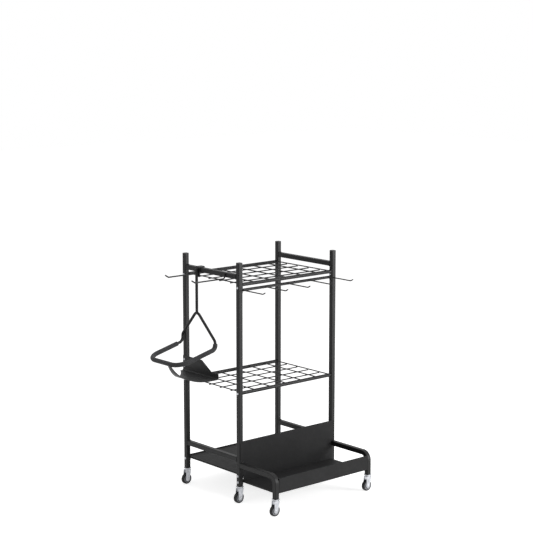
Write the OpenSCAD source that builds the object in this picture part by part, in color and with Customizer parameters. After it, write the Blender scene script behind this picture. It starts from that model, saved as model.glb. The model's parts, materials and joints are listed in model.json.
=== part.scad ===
// Freestanding garden tool rack on six swivel casters.
// Millimetres, +Z up. The origin lies on the floor under the middle of the whole object's box.

/* [Frame] */
// Height from the floor to the tops of the posts
rack_height = 1000; // [960:5:1060]
// Distance between the centre lines of the left and right posts
rack_width = 515; // [460:5:580]
// Distance between the centre lines of the front and rear posts
rack_depth = 350; // [320:5:400]
// Distance from the front posts forward to the front legs
step_depth = 224; // [200:2:260]
// Outside width of the square tube
tube_w = 20; // [19:0.5:22]
// Wall of the square tube
tube_wall = 1.5; // [1.2:0.1:2]
// Outside corner radius of the square tube
tube_r = 2.5; // [2:0.5:3.5]
// Distance from the post tops down to the upper side bars
high_bar_drop = 48; // [40:1:60]
// Height of the top faces of the lower side bars
low_bar_top = 193; // [190:1:215]
// Height of the top faces of the two bent leg tubes
loop_top = 171; // [165:1:180]
// Centre-line radius of the bend in each leg tube
loop_bend_r = 30; // [24:1:36]
// Height of the lower ends of the posts and legs
leg_bottom = 70; // [68:1:74]
// Thickness of a post cap above the tube
cap_t = 3; // [2:0.5:5]

/* [Racks] */
// Distance from the post tops down to the rail centre line of the top rack
top_rack_drop = 90; // [85:1:120]
// Height of the rail centre line of the middle rack
mid_rack_z = 461; // [430:2:490]
// Outside diameter of the rack rails
rail_d = 15; // [14:0.5:18]
// Wall of the rack rails
rail_wall = 1.2; // [1:0.1:1.6]
// Diameter of the bar that carries the prongs
hook_bar_d = 12; // [10:0.5:14]
// Distance from the top rail centre down to the prong bar centre
hook_bar_drop = 23; // [21:0.5:28]
// Diameter of the inner grid wires
wire_d = 5; // [4:0.5:6]
// Grid cells from left to right
cells_across = 6; // [5:1:7]
// Grid cells from front to rear
cells_deep = 5; // [4:1:6]
// Prongs on the front of the top rack
prong_count = 5; // [3:1:6]
// Straight length of a prong
prong_len = 122; // [90:2:140]
// Length of the upturned prong tip
prong_tip = 14; // [12:1:24]
// Rise angle of the prong tip in degrees
prong_tip_angle = 28; // [15:1:45]

/* [Sheet parts] */
// Thickness of the sheet metal
sheet_t = 1.2; // [1:0.1:1.6]
// Height of the top face of the rear tray floor
tray_z = 118.5; // [116:0.5:130]
// Height of the top face of the front pan floor
pan_z = 93; // [92:0.5:98]
// Depth of the downward flanges along tray and pan
flange_h = 7; // [5:0.5:9]
// Height of the upturned rear hem of the tray
tray_hem = 5; // [4:0.5:12]
// Height of the top edge of the front plate
plate_top = 153; // [148:1:162]
// Height of the top edge of the divider plate
divider_top = 262; // [235:1:290]
// Radius of the divider plate's upper corners
divider_r = 14; // [8:1:20]

/* [Side hooks] */
// Reach of a side hook from the bar's outer face
hook_reach = 171; // [120:1:182]
// Rise of the upturned hook tip
hook_tip_rise = 9; // [8:1:20]
// Diameter of the side hook wire
hook_wire_d = 6; // [5:0.5:7]

/* [Side holder] */
// Distance from the post faces out to the centre of the padded bar
holder_reach = 195; // [175:1:210]
// Height of the padded bar's centre
holder_bar_z = 580; // [570:1:600]
// Rise from the padded bar to the inner ends of the two arms
holder_foot_rise = 46; // [35:1:60]
// Rise from the padded bar to where the arms turn from upright to slanted
holder_knee_rise = 78; // [75:1:100]
// Rise from the padded bar to where the arms meet under the hanger
holder_peak_rise = 190; // [170:2:220]
// Distance from the front arm to the rear arm
holder_span = 218; // [190:2:230]
// Diameter of the holder rod
rod_d = 12; // [10:0.5:13]
// Outside diameter of the foam pad
pad_d = 19.5; // [18:0.5:24]
// Distance from the padded bar's centre down to the cradle's lowest surface
cradle_drop = 83; // [75:1:95]
// Thickness of the cradle sheet
cradle_t = 1.5; // [1.2:0.1:2]

/* [Casters] */
// Diameter of the wheels
wheel_d = 45; // [43:1:50]
// Width of the wheels
wheel_w = 15; // [12:0.5:16]
// Distance from the swivel axis back to the wheel axle
trail = 6; // [4:0.5:10]
// Thickness of the fork sheet
fork_t = 1.5; // [1.2:0.1:2]
// Diameter of the wheel axle
axle_d = 6; // [5:0.5:7]

/* [Hidden] */

// Facet counts: the smallest that still carry over as true curves
round_n = 24;
small_n = 16;
wire_n = 14;

// Fits
overrun = 1;
weld_sink = 0.6;
touch = 0.3;
joint_step = 0.04;
hole_gap = 0.1;
pivot_gap = 0.05;
sheet_gap = 0.5;
plug_gap = 0.1;

// Fasteners
bolt_d = 5;
bolt_head_d = 10;
bolt_head_h = 3;
bolt_edge = 0.8;
nut_af = 8;
nut_h = 4;
bolt_tail = 1.5;
screw_len = 8;
insert_len = 14;
plug_h = 12;

// Bends of the holder ring
holder_bend_r = 55;
holder_corner_r = 22;
pad_end_gap = 8;

// Derived frame places
half_tube = tube_w / 2;
tube_in = tube_w - 2 * tube_wall;
crown_l = 25;
crown_t = 3;
fork_side_gap = 1.5;
fork_w = wheel_w + 2 * fork_side_gap + 2 * fork_t;
wheel_side_gap = 1;
reach_left = half_tube + holder_reach + pad_d / 2;
reach_right = max(crown_l / 2, wheel_d / 2 - trail);
left_x = (reach_left - reach_right - rack_width) / 2;
right_x = left_x + rack_width;
mid_y = (step_depth - rack_depth) / 2;
rear_y = mid_y + rack_depth;
front_y = mid_y - step_depth;
post_top = rack_height - cap_t;
high_bar_top = rack_height - high_bar_drop;
top_rack_z = rack_height - top_rack_drop;
holder_foot_z = holder_bar_z + holder_foot_rise;
holder_knee_z = holder_bar_z + holder_knee_rise;
holder_peak_z = holder_bar_z + holder_peak_rise;
cradle_z = holder_bar_z - cradle_drop;
inner_left = left_x + half_tube;
inner_right = right_x - half_tube;
inner_w = inner_right - inner_left;

// Grid places
edge_gap = 0.7;
prong_inset = 6;
end_plate_t = 3;
end_plate_h = 45;
end_plate_w = 13;
hook_bar_z = top_rack_z - hook_bar_drop;
top_bolt_z = (top_rack_z - rail_d / 2 + hook_bar_z + hook_bar_d / 2) / 2;
cross_lift = (wire_d - touch) / 2;
edge_left = inner_left + edge_gap + wire_d / 2;
edge_right = inner_right - edge_gap - wire_d / 2;
long_overhang = wire_d / 2;

// Fixing heights
tray_bolt_z = tray_z - sheet_t - nut_af / 2 - hole_gap;
pan_bolt_z = pan_z - sheet_t - nut_af / 2 - hole_gap;
loop_bolt_z = loop_top - half_tube;
tab_h = 14;
tab_w = 18;

// The side hook stands at this share of the depth behind the front posts
hook_place_share = 0.22;
hook_inset = 5;
hook_drop = 5;
hook_bend_r = 9;
hook_tip_len = 15;
prong_bend_r = 14;

// Caster places
wheel_r = wheel_d / 2;
fork_top = 63;
fork_eye_r = 10;
crown_bore = 8;
race_d = 20;
race_h = 3.4;
pin_head_d = 13;
pin_head_h = 2;
stem_d = 10;
stem_len = 13;
socket_h = 15;
socket_floor = 1;
axle_head_d = 9;
axle_head_h = 1.5;
tyre_t = 6;
tyre_round = 2.5;
tread_w = 3;
tread_t = 1.2;
hub_boss_d = 14;
hub_web_t = 5;
hub_rim_t = 2.5;

CASTERS = [
    ["front_left", left_x, front_y],
    ["front_right", right_x, front_y],
    ["mid_left", left_x, mid_y],
    ["mid_right", right_x, mid_y],
    ["rear_left", left_x, rear_y],
    ["rear_right", right_x, rear_y]];

steel = "#2b2c2e";
zinc = "#c9ccd1";
foam = "#55585b";
rubber_black = "#1d1e20";
wheel_grey = "#8d9096";

// Vector helpers
function unit(v) = v / norm(v);
function bend_side(a, b) = unit(b - (a * b) * a);
function turn_angle(a, b) = acos(max(-1, min(1, a * b)));
function cross_side(a) = unit(abs(a[1]) > abs(a[2]) ? cross(a, [0, 0, 1]) : cross(a, [0, 1, 0]));

// Four-by-four frame from three axes and a place
function placed(x, y, z, p) = [
    [x[0], y[0], z[0], p[0]],
    [x[1], y[1], z[1], p[1]],
    [x[2], y[2], z[2], p[2]],
    [0, 0, 0, 1]];

// Round rod along corner points, with a true arc of the given radius at each inner corner.
// Straight lengths are a hair thinner and run a little way into the arcs, so that they join cleanly.
module bent_rod(points, radii, d, bore = 0, closed = false, ball = false) {
    n = len(points);
    function at(i) = points[(i + n) % n];
    function into(i) = unit(at(i) - at(i - 1));
    function out(i) = unit(at(i + 1) - at(i));
    function is_end(i) = !closed && (i % n == 0 || i == n - 1);
    function cut(i) = is_end(i) ? 0 : radii[i % n] * tan(turn_angle(into(i), out(i)) / 2);
    module ring(step) {
        difference() {
            circle(d = d - 2 * step, $fn = wire_n);
            if (bore > 0)
                circle(d = bore + 2 * step, $fn = wire_n);
        }
    }
    for (i = [0:closed ? n - 1 : n - 2]) {
        a = out(i);
        side = cross_side(a);
        back = is_end(i) ? 0 : weld_sink;
        front = is_end(i + 1) ? 0 : weld_sink;
        start = at(i) + a * (cut(i) - back);
        run = norm(at(i + 1) - at(i)) - cut(i) - cut(i + 1) + back + front;
        multmatrix(placed(side, cross(a, side), a, start))
            linear_extrude(height = run)
                ring(joint_step);
    }
    for (i = [closed ? 0 : 1:closed ? n - 1 : n - 2]) {
        a = into(i);
        m = bend_side(a, out(i));
        centre = at(i) - a * cut(i) + m * radii[i];
        multmatrix(placed(-m, a, cross(-m, a), centre))
            rotate_extrude(angle = turn_angle(a, out(i)), $fn = round_n)
                translate([radii[i], 0])
                    ring(0);
    }
    if (ball)
        translate(points[n - 1])
            sphere(d = d, $fn = wire_n);
}

// Outline of a square with round corners
module rounded_square(side, r) {
    square([side - 2 * r, side], center = true);
    square([side, side - 2 * r], center = true);
    for (sx = [-1, 1], sy = [-1, 1])
        translate([sx * (side / 2 - r), sy * (side / 2 - r)])
            circle(r = r, $fn = small_n);
}

// Cross-section of the square tube
module tube_section() {
    difference() {
        rounded_square(tube_w, tube_r);
        rounded_square(tube_in, tube_r - tube_wall);
    }
}

// Hole along X, centred on the tube that it passes through
module hole_x(x, y, z, span) {
    translate([x, y, z])
        rotate([0, 90, 0])
            cylinder(d = bolt_d + 2 * hole_gap, h = span, center = true, $fn = wire_n);
}

// Hole along Y
module hole_y(x, y, z, span) {
    translate([x, y, z])
        rotate([90, 0, 0])
            cylinder(d = bolt_d + 2 * hole_gap, h = span, center = true, $fn = wire_n);
}

// One upright: the places of its side holes are the last argument
module post(x, y, side_holes, front = false) {
    color(steel)
        difference() {
            translate([x, y, leg_bottom])
                linear_extrude(height = post_top - leg_bottom)
                    tube_section();
            for (z = side_holes)
                hole_x(x, y, z, tube_w + 2 * overrun);
            if (front)
                hole_y(x, y, loop_bolt_z, tube_w + 2 * overrun);
        }
}

// Hole through the outer wall of a tube only: face is -1 on the left and 1 on the right
module wall_hole_x(x, y, z, face) {
    hole_x(x + face * half_tube, y, z, 2 * tube_wall + 2 * overrun);
}

module post_front_left() {
    post(left_x, mid_y, [top_bolt_z, mid_rack_z, tray_bolt_z, pan_bolt_z], true);
}

module post_front_right() {
    post(right_x, mid_y, [top_bolt_z, mid_rack_z, tray_bolt_z, pan_bolt_z], true);
}

module post_rear_left() {
    difference() {
        post(left_x, rear_y, [top_rack_z, mid_rack_z, tray_bolt_z]);
        for (z = cradle_screw_z)
            wall_hole_x(left_x, rear_y, z, -1);
    }
}

module post_rear_right() {
    post(right_x, rear_y, [top_rack_z, mid_rack_z, tray_bolt_z]);
}

// Plastic caps: a flat lid and a plug that fits the tube
module post_caps() {
    color(rubber_black)
        for (x = [left_x, right_x], y = [mid_y, rear_y])
            translate([x, y, post_top]) {
                linear_extrude(height = cap_t)
                    rounded_square(tube_w, tube_r);
                translate([0, 0, -plug_h])
                    linear_extrude(height = plug_h)
                        difference() {
                            rounded_square(tube_in - 2 * plug_gap, tube_r - tube_wall);
                            rounded_square(tube_in - 4 * tube_wall, tube_r - tube_wall);
                        }
            }
}

// Square tube from the front post to the rear post on one side
module side_bar(x, top) {
    color(steel)
        translate([x, mid_y + half_tube, top - half_tube])
            rotate([-90, 0, 0])
                linear_extrude(height = rack_depth - tube_w)
                    tube_section();
}

module side_bar_high_left() {
    difference() {
        side_bar(left_x, high_bar_top);
        wall_hole_x(left_x, hanger_y, saddle_screw_z, 1);
    }
}

module side_bar_high_right() {
    side_bar(right_x, high_bar_top);
}

module side_bar_low_left() {
    side_bar(left_x, low_bar_top);
}

module side_bar_low_right() {
    side_bar(right_x, low_bar_top);
}

// Hollow round rail between the posts
module rail(y, z, inset = 0) {
    color(steel)
        translate([inner_left + inset, y, z])
            rotate([0, 90, 0])
                difference() {
                    cylinder(d = rail_d, h = inner_w - 2 * inset, $fn = small_n);
                    translate([0, 0, -overrun])
                        cylinder(d = rail_d - 2 * rail_wall, h = inner_w + 2 * overrun, $fn = small_n);
                }
}

module top_front_rail() {
    rail(mid_y, top_rack_z, end_plate_t);
}

module top_rear_rail() {
    rail(rear_y, top_rack_z);
}

module mid_front_rail() {
    rail(mid_y, mid_rack_z);
}

module mid_rear_rail() {
    rail(rear_y, mid_rack_z);
}

// Bar below the top front rail, welded to the two end plates that also hold the rail
module top_hook_bar() {
    color(steel)
        difference() {
            union() {
                translate([inner_left + end_plate_t, mid_y, hook_bar_z])
                    rotate([0, 90, 0])
                        cylinder(d = hook_bar_d, h = inner_w - 2 * end_plate_t, $fn = small_n);
                for (x = [inner_left, inner_right - end_plate_t])
                    translate([x, mid_y - end_plate_w / 2, top_bolt_z - end_plate_h / 2])
                        cube([end_plate_t, end_plate_w, end_plate_h]);
            }
            for (x = [inner_left, inner_right])
                hole_x(x, mid_y, top_bolt_z, 2 * end_plate_t + 2 * overrun);
        }
}

// Grid wires along the width
module long_wires(z) {
    pitch = rack_depth / cells_deep;
    color(steel)
        for (i = [1:cells_deep - 1])
            translate([edge_left - long_overhang, mid_y + i * pitch, z - cross_lift])
                rotate([0, 90, 0])
                    cylinder(d = wire_d, h = edge_right - edge_left + 2 * long_overhang, $fn = wire_n);
}

// Grid wires along the depth, one of them at each edge
module cross_wires(z) {
    pitch = rack_width / cells_across;
    inner = [for (i = [1:cells_across - 1]) left_x + i * pitch];
    color(steel)
        for (x = concat([edge_left], inner, [edge_right]))
            translate([x, mid_y + rail_d / 2 - weld_sink, z + cross_lift])
                rotate([-90, 0, 0])
                    cylinder(d = wire_d, h = rack_depth - rail_d + 2 * weld_sink, $fn = wire_n);
}

module top_long_wires() {
    long_wires(top_rack_z);
}

module top_cross_wires() {
    cross_wires(top_rack_z);
}

module mid_long_wires() {
    long_wires(mid_rack_z);
}

module mid_cross_wires() {
    cross_wires(mid_rack_z);
}

// Prongs that stand forward from the bar below the top front rail, with upturned round tips
module front_prongs() {
    pitch = (inner_w - 2 * prong_inset) / (prong_count - 1);
    root_y = mid_y - hook_bar_d / 2 + weld_sink;
    tip = [0, -prong_tip * cos(prong_tip_angle), prong_tip * sin(prong_tip_angle)];
    color(steel)
        for (i = [0:prong_count - 1]) {
            root = [inner_left + prong_inset + i * pitch, root_y, hook_bar_z];
            corner = root - [0, prong_len, 0];
            bent_rod([root, corner, corner + tip], [0, prong_bend_r, 0], wire_d, ball = true);
        }
}

// Threaded inserts in the rail ends and in the rear ends of the bent tubes
module rail_insert(x, y, z) {
    translate([x, y, z])
        rotate([0, 90, 0])
            difference() {
                cylinder(d = rail_d - 2 * rail_wall - 2 * hole_gap, h = insert_len, $fn = small_n);
                translate([0, 0, -overrun])
                    cylinder(d = bolt_d + 2 * hole_gap, h = insert_len + 2 * overrun, $fn = wire_n);
            }
}

module tube_inserts() {
    color(zinc) {
        for (end = [[mid_y, mid_rack_z], [rear_y, mid_rack_z], [rear_y, top_rack_z]]) {
            rail_insert(inner_left, end[0], end[1]);
            rail_insert(inner_right - insert_len, end[0], end[1]);
        }
        for (x = [left_x, right_x])
            difference() {
                translate([x, mid_y - half_tube, loop_bolt_z])
                    rotate([90, 0, 0])
                        linear_extrude(height = insert_len)
                            rounded_square(tube_in - 2 * plug_gap, tube_r - tube_wall);
                hole_y(x, mid_y - half_tube, loop_bolt_z, 2 * insert_len + 2 * overrun);
            }
    }
}

// Sheet sections lie in the YZ plane and run along X between the posts
module along_width(x0, x1) {
    translate([x0, 0, 0])
        rotate([90, 0, 90])
            linear_extrude(height = x1 - x0)
                children();
}

// Quarter of a bent sheet: its outer corner is at the origin, and it opens towards +X and +Y
module sheet_bend(r, t) {
    translate([r, r])
        intersection() {
            difference() {
                circle(r = r, $fn = round_n);
                circle(r = r - t, $fn = round_n);
            }
            translate([-r, -r])
                square(r);
        }
}

bend_out_r = 4;

// Downward flange against the posts' inner faces, with a deeper tab at each bolt
module side_flange(x, y0, y1, top, tabs_y, bolt_z) {
    difference() {
        union() {
            translate([x, y0, top - flange_h])
                cube([sheet_t, y1 - y0, flange_h]);
            for (y = tabs_y)
                translate([x, y - tab_w / 2, top - tab_h])
                    cube([sheet_t, tab_w, tab_h]);
        }
        for (y = tabs_y)
            hole_x(x, y, bolt_z, 2 * sheet_t + 2 * overrun);
    }
}

// Rear tray: floor, upturned rear hem, front flange and two side flanges
module rear_tray() {
    front_edge = mid_y - half_tube + sheet_gap;
    rear_edge = rear_y + half_tube;
    color(steel) {
        along_width(inner_left, inner_right) {
            translate([front_edge, tray_z - sheet_t])
                square([rear_edge - bend_out_r - front_edge, sheet_t]);
            translate([rear_edge, tray_z - sheet_t])
                mirror([1, 0])
                    sheet_bend(bend_out_r, sheet_t);
            translate([rear_edge - sheet_t, tray_z - sheet_t + bend_out_r])
                square([sheet_t, tray_hem + sheet_t - bend_out_r]);
            translate([front_edge, tray_z - flange_h])
                square([sheet_t, flange_h]);
        }
        for (x = [inner_left, inner_right - sheet_t])
            side_flange(x, front_edge, rear_edge - bend_out_r, tray_z, [mid_y, rear_y], tray_bolt_z);
    }
}

// Front pan: floor, tall front plate with a folded top hem, side flanges and leg returns
plate_hem = 8;
return_w = 14;
pan_screw_rise = 18;
pan_screw_drop = 17;
pan_screw_z = [pan_z + pan_screw_rise, plate_top - pan_screw_drop];

module front_pan() {
    back_edge = mid_y + half_tube - sheet_gap;
    face = front_y - half_tube;
    color(steel) {
        along_width(inner_left, inner_right) {
            translate([face + bend_out_r, pan_z - sheet_t])
                square([back_edge - face - bend_out_r, sheet_t]);
            translate([face, pan_z - sheet_t])
                sheet_bend(bend_out_r, sheet_t);
            translate([face, pan_z - sheet_t + bend_out_r])
                square([sheet_t, plate_top - pan_z + sheet_t - bend_out_r]);
            translate([face, plate_top - sheet_t])
                square([plate_hem, sheet_t]);
            translate([back_edge - sheet_t, pan_z - flange_h])
                square([sheet_t, flange_h]);
        }
        for (x = [inner_left, inner_right - sheet_t]) {
            side_flange(x, face + bend_out_r, back_edge, pan_z, [mid_y], pan_bolt_z);
            difference() {
                translate([x, face, pan_z - sheet_t + bend_out_r])
                    cube([sheet_t, return_w, plate_top - pan_z + sheet_t - bend_out_r]);
                for (z = pan_screw_z)
                    hole_x(x, face + return_w / 2, z, 2 * sheet_t + 2 * overrun);
            }
        }
    }
}

// Divider: a wide band with round upper corners on the front posts, and a narrower skirt below
divider_inset = 5;

module divider_plate() {
    back = mid_y - half_tube;
    band_left = left_x - half_tube + divider_inset;
    band_right = right_x + half_tube - divider_inset;
    band_bottom = loop_top + sheet_gap;
    skirt_bottom = pan_z + touch;
    color(steel)
        translate([0, back, 0])
            rotate([90, 0, 0])
                linear_extrude(height = sheet_t) {
                    translate([band_left, band_bottom])
                        square([band_right - band_left, divider_top - divider_r - band_bottom]);
                    translate([band_left + divider_r, band_bottom])
                        square([band_right - band_left - 2 * divider_r, divider_top - band_bottom]);
                    for (x = [band_left + divider_r, band_right - divider_r])
                        translate([x, divider_top - divider_r])
                            circle(r = divider_r, $fn = round_n);
                    translate([inner_left + sheet_gap, skirt_bottom])
                        square([inner_w - 2 * sheet_gap, band_bottom - skirt_bottom]);
                }
}

// Square tube that runs forward from the front post and bends down into the front leg
module leg_loop(x, inner_face) {
    straight = step_depth - half_tube - loop_bend_r;
    color(steel)
        difference() {
            union() {
                translate([x, mid_y - half_tube, loop_bolt_z])
                    rotate([90, 0, 0])
                        linear_extrude(height = straight)
                            tube_section();
                translate([x, front_y + loop_bend_r, loop_bolt_z - loop_bend_r])
                    rotate([0, -90, 0])
                        mirror([0, 1, 0])
                            rotate_extrude(angle = 90, $fn = 2 * round_n)
                                translate([loop_bend_r, 0])
                                    tube_section();
                translate([x, front_y, leg_bottom])
                    linear_extrude(height = loop_bolt_z - loop_bend_r - leg_bottom)
                        tube_section();
            }
            for (z = pan_screw_z)
                wall_hole_x(x, front_y - half_tube + return_w / 2, z, inner_face);
        }
}

module leg_loop_left() {
    leg_loop(left_x, 1);
}

module leg_loop_right() {
    leg_loop(right_x, -1);
}

// Button-head bolt: the head stands above z = 0 and the shank hangs below
module bolt(length) {
    cylinder(d = bolt_head_d, h = bolt_head_h - bolt_edge, $fn = small_n);
    translate([0, 0, bolt_head_h - bolt_edge])
        cylinder(d1 = bolt_head_d, d2 = bolt_head_d - 4 * bolt_edge, h = bolt_edge, $fn = small_n);
    translate([0, 0, -length])
        cylinder(d = bolt_d, h = length, $fn = wire_n);
}

// Bolt whose head lies on a post's outer side: side is -1 on the left and 1 on the right
module bolt_x(x, y, z, side, length) {
    translate([x, y, z])
        rotate([0, side * 90, 0])
            bolt(length);
}

// Bolts through the posts: into rails, tray, pan and, from the rear, into the bent tubes
module frame_bolts() {
    plate_reach = tube_w + end_plate_t + nut_h + bolt_tail;
    insert_reach = tube_w + insert_len - bolt_tail;
    sheet_reach = tube_w + sheet_t + nut_h + bolt_tail;
    color(zinc)
        for (side = [-1, 1]) {
            x = side < 0 ? left_x - half_tube : right_x + half_tube;
            bolt_x(x, mid_y, top_bolt_z, side, plate_reach);
            bolt_x(x, rear_y, top_rack_z, side, insert_reach);
            bolt_x(x, mid_y, mid_rack_z, side, insert_reach);
            bolt_x(x, rear_y, mid_rack_z, side, insert_reach);
            bolt_x(x, mid_y, tray_bolt_z, side, sheet_reach);
            bolt_x(x, rear_y, tray_bolt_z, side, sheet_reach);
            bolt_x(x, mid_y, pan_bolt_z, side, sheet_reach);
            translate([x - side * half_tube, mid_y + half_tube, loop_bolt_z])
                rotate([-90, 0, 0])
                    bolt(insert_reach);
        }
}

// Short screws that hold the front plate, the cradle and the saddle
cradle_screw_rises = [20, 50];
cradle_screw_z = [for (rise = cradle_screw_rises) cradle_z + rise];

module plate_screws() {
    return_y = front_y - half_tube + return_w / 2;
    color(zinc) {
        for (z = pan_screw_z) {
            bolt_x(inner_left + sheet_t, return_y, z, 1, screw_len);
            bolt_x(inner_right - sheet_t, return_y, z, -1, screw_len);
        }
        for (z = cradle_screw_z)
            bolt_x(left_x - half_tube - cradle_t, rear_y, z, -1, screw_len);
        bolt_x(inner_left + saddle_t, hanger_y, saddle_screw_z, 1, screw_len);
    }
}

// Hexagon nut whose seat is at z = 0
module nut() {
    difference() {
        rotate([0, 0, 30])
            cylinder(d = nut_af / cos(30), h = nut_h, $fn = 6);
        translate([0, 0, -overrun])
            cylinder(d = bolt_d + 2 * hole_gap, h = nut_h + 2 * overrun, $fn = wire_n);
    }
}

module nut_x(x, y, z, side) {
    translate([x, y, z])
        rotate([0, side * 90, 0])
            nut();
}

module weld_nuts() {
    color(zinc) {
        for (end = [[inner_left, 1], [inner_right, -1]]) {
            nut_x(end[0] + end[1] * end_plate_t, mid_y, top_bolt_z, end[1]);
            nut_x(end[0] + end[1] * sheet_t, mid_y, tray_bolt_z, end[1]);
            nut_x(end[0] + end[1] * sheet_t, rear_y, tray_bolt_z, end[1]);
            nut_x(end[0] + end[1] * sheet_t, mid_y, pan_bolt_z, end[1]);
        }
    }
}

// Plugs in the lower tube ends that hold the caster stems
module caster_sockets() {
    color(rubber_black)
        for (c = CASTERS)
            translate([c[1], c[2], leg_bottom])
                difference() {
                    linear_extrude(height = socket_h)
                        rounded_square(tube_in - 2 * plug_gap, tube_r - tube_wall);
                    translate([0, 0, -overrun])
                        cylinder(d = stem_d + 2 * pivot_gap, h = stem_len + socket_floor + overrun,
                            $fn = small_n);
                }
}

// Caster stem with its crown plate, king pin and riveted pin head
module caster_stems() {
    pin_len = leg_bottom - crown_t - fork_top + fork_t + touch;
    color(zinc)
        for (c = CASTERS)
            translate([c[1], c[2], leg_bottom]) {
                cylinder(d = stem_d, h = stem_len, $fn = small_n);
                translate([0, 0, -crown_t])
                    linear_extrude(height = crown_t)
                        rounded_square(crown_l, tube_r);
                translate([0, 0, -crown_t - pin_len])
                    cylinder(d = crown_bore, h = pin_len, $fn = small_n);
                translate([0, 0, -crown_t - pin_len - pin_head_h])
                    cylinder(d = pin_head_d, h = pin_head_h, $fn = small_n);
            }
}

// Corner points of a hook that hangs on the outer face of the upper left side bar
hook_z = high_bar_top - tube_w - hook_drop;
hook_end_x = left_x - half_tube - hook_reach;

function hook_points(x, y, top) = [[x, y, top], [x, y, hook_z], [hook_end_x + hook_tip_len, y, hook_z],
    [hook_end_x, y, hook_z + hook_tip_rise]];

// Plain wire hook
module side_hook() {
    x = left_x - half_tube - hook_wire_d / 2 + touch;
    y = mid_y + hook_place_share * rack_depth;
    color(steel)
        bent_rod(hook_points(x, y, high_bar_top - hook_inset), [0, hook_bend_r, hook_bend_r, 0],
            hook_wire_d, ball = true);
}

// Corner points of the holder ring, from the front arm round to the rear arm and up to the peak
hanger_share = 0.55;
holder_front_y = rear_y - holder_span;
hanger_y = holder_front_y + hanger_share * holder_span;
holder_rod_x = left_x - half_tube - pad_d / 2;
holder_bar_x = left_x - half_tube - holder_reach;
holder_ring = [
    [holder_rod_x, holder_front_y, holder_knee_z],
    [holder_rod_x, holder_front_y, holder_foot_z],
    [holder_bar_x, holder_front_y, holder_bar_z],
    [holder_bar_x, rear_y, holder_bar_z],
    [holder_rod_x, rear_y, holder_foot_z],
    [holder_rod_x, rear_y, holder_knee_z],
    [holder_rod_x, hanger_y, holder_peak_z]];
holder_radii = [holder_corner_r, holder_corner_r, holder_bend_r, holder_bend_r,
    holder_corner_r, holder_corner_r, holder_corner_r];

// Steel rod bent into a closed ring
module holder_frame() {
    color(steel)
        bent_rod(holder_ring, holder_radii, rod_d, closed = true);
}

// Upright rod from the ring's peak to the saddle, with a wire hook on its upper end
module holder_hanger() {
    low = holder_peak_z - rod_d / 2;
    top = high_bar_top - hook_inset;
    color(steel) {
        translate([holder_rod_x, hanger_y, low])
            cylinder(d = rod_d, h = top - low, $fn = small_n);
        translate([holder_rod_x - rod_d / 2 + weld_sink, hanger_y, hook_z])
            bent_rod([[0, 0, 0], [hook_end_x + hook_tip_len - holder_rod_x + rod_d / 2, 0, 0],
                [hook_end_x - holder_rod_x + rod_d / 2, 0, hook_tip_rise]],
                [0, hook_bend_r, 0], hook_wire_d, ball = true);
    }
}

// Strap over the upper left side bar that carries the hanger
saddle_t = pad_d / 2 - rod_d / 2 + touch;
saddle_w = 24;
saddle_inner_h = 16;
saddle_outer_h = 40;
saddle_screw_z = high_bar_top - tube_w / 2;

module holder_saddle() {
    outer_x = left_x - half_tube - saddle_t;
    color(steel)
        difference() {
            translate([outer_x, hanger_y - saddle_w / 2, high_bar_top - saddle_outer_h])
                cube([tube_w + 2 * saddle_t, saddle_w, saddle_outer_h + saddle_t]);
            translate([left_x - half_tube, hanger_y - saddle_w, high_bar_top - saddle_outer_h - overrun])
                cube([tube_w, 2 * saddle_w, saddle_outer_h + overrun]);
            translate([inner_left - overrun, hanger_y - saddle_w, high_bar_top - saddle_outer_h - overrun])
                cube([saddle_t + 2 * overrun, 2 * saddle_w, saddle_outer_h - saddle_inner_h + overrun]);
            hole_x(inner_left, hanger_y, saddle_screw_z, 2 * saddle_t + 2 * overrun);
        }
}

// Foam sleeve over the foot of the front arm, both arms and the outer bar
module holder_pad() {
    drop = holder_corner_r + pad_end_gap;
    front_end = holder_ring[1] + [0, 0, holder_corner_r];
    arm = holder_ring[4] - holder_ring[3];
    rear_end = holder_ring[4] - unit(arm) * drop;
    color(foam)
        bent_rod([front_end, holder_ring[1], holder_ring[2], holder_ring[3], rear_end],
            [0, holder_radii[1], holder_radii[2], holder_radii[3], 0], pad_d, bore = rod_d);
}

// Curved sheet below the padded bar: an arc that rises to the bar, a flat bottom and an inner wall
// on the rear post. A tongue meets the bar behind its front bend, and a long curve trims the outer
// edge from there back to the post.
cradle_flat_share = 0.36;
cradle_lip_turn = 1;
cradle_bend_r = 8;
cradle_wall_low = 24;
cradle_wall_high = 66;
cradle_step_shares = [0.18, 0.46];
cradle_front_reach = 50;
cradle_tongue_end = 10;
cradle_cut_end = 16;
cradle_cut_share = 1.65;

// The sheet's section across the rack's side, from the lip at the bar to the wall at the rack
module cradle_section(wall_x, arc_x, arc_r, slope) {
    translate([arc_x, cradle_z + arc_r])
        intersection() {
            difference() {
                circle(r = arc_r, $fn = 4 * round_n);
                circle(r = arc_r - cradle_t, $fn = 4 * round_n);
            }
            polygon([[0, 0], [0, -2 * arc_r],
                [-2 * arc_r * sin(slope), -2 * arc_r * cos(slope)]]);
        }
    translate([arc_x, cradle_z])
        square([wall_x - cradle_bend_r - arc_x, cradle_t]);
    translate([wall_x, cradle_z])
        mirror([1, 0])
            sheet_bend(cradle_bend_r, cradle_t);
    translate([wall_x - cradle_t, cradle_z + cradle_bend_r])
        square([cradle_t, cradle_wall_high - cradle_bend_r]);
}

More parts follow.
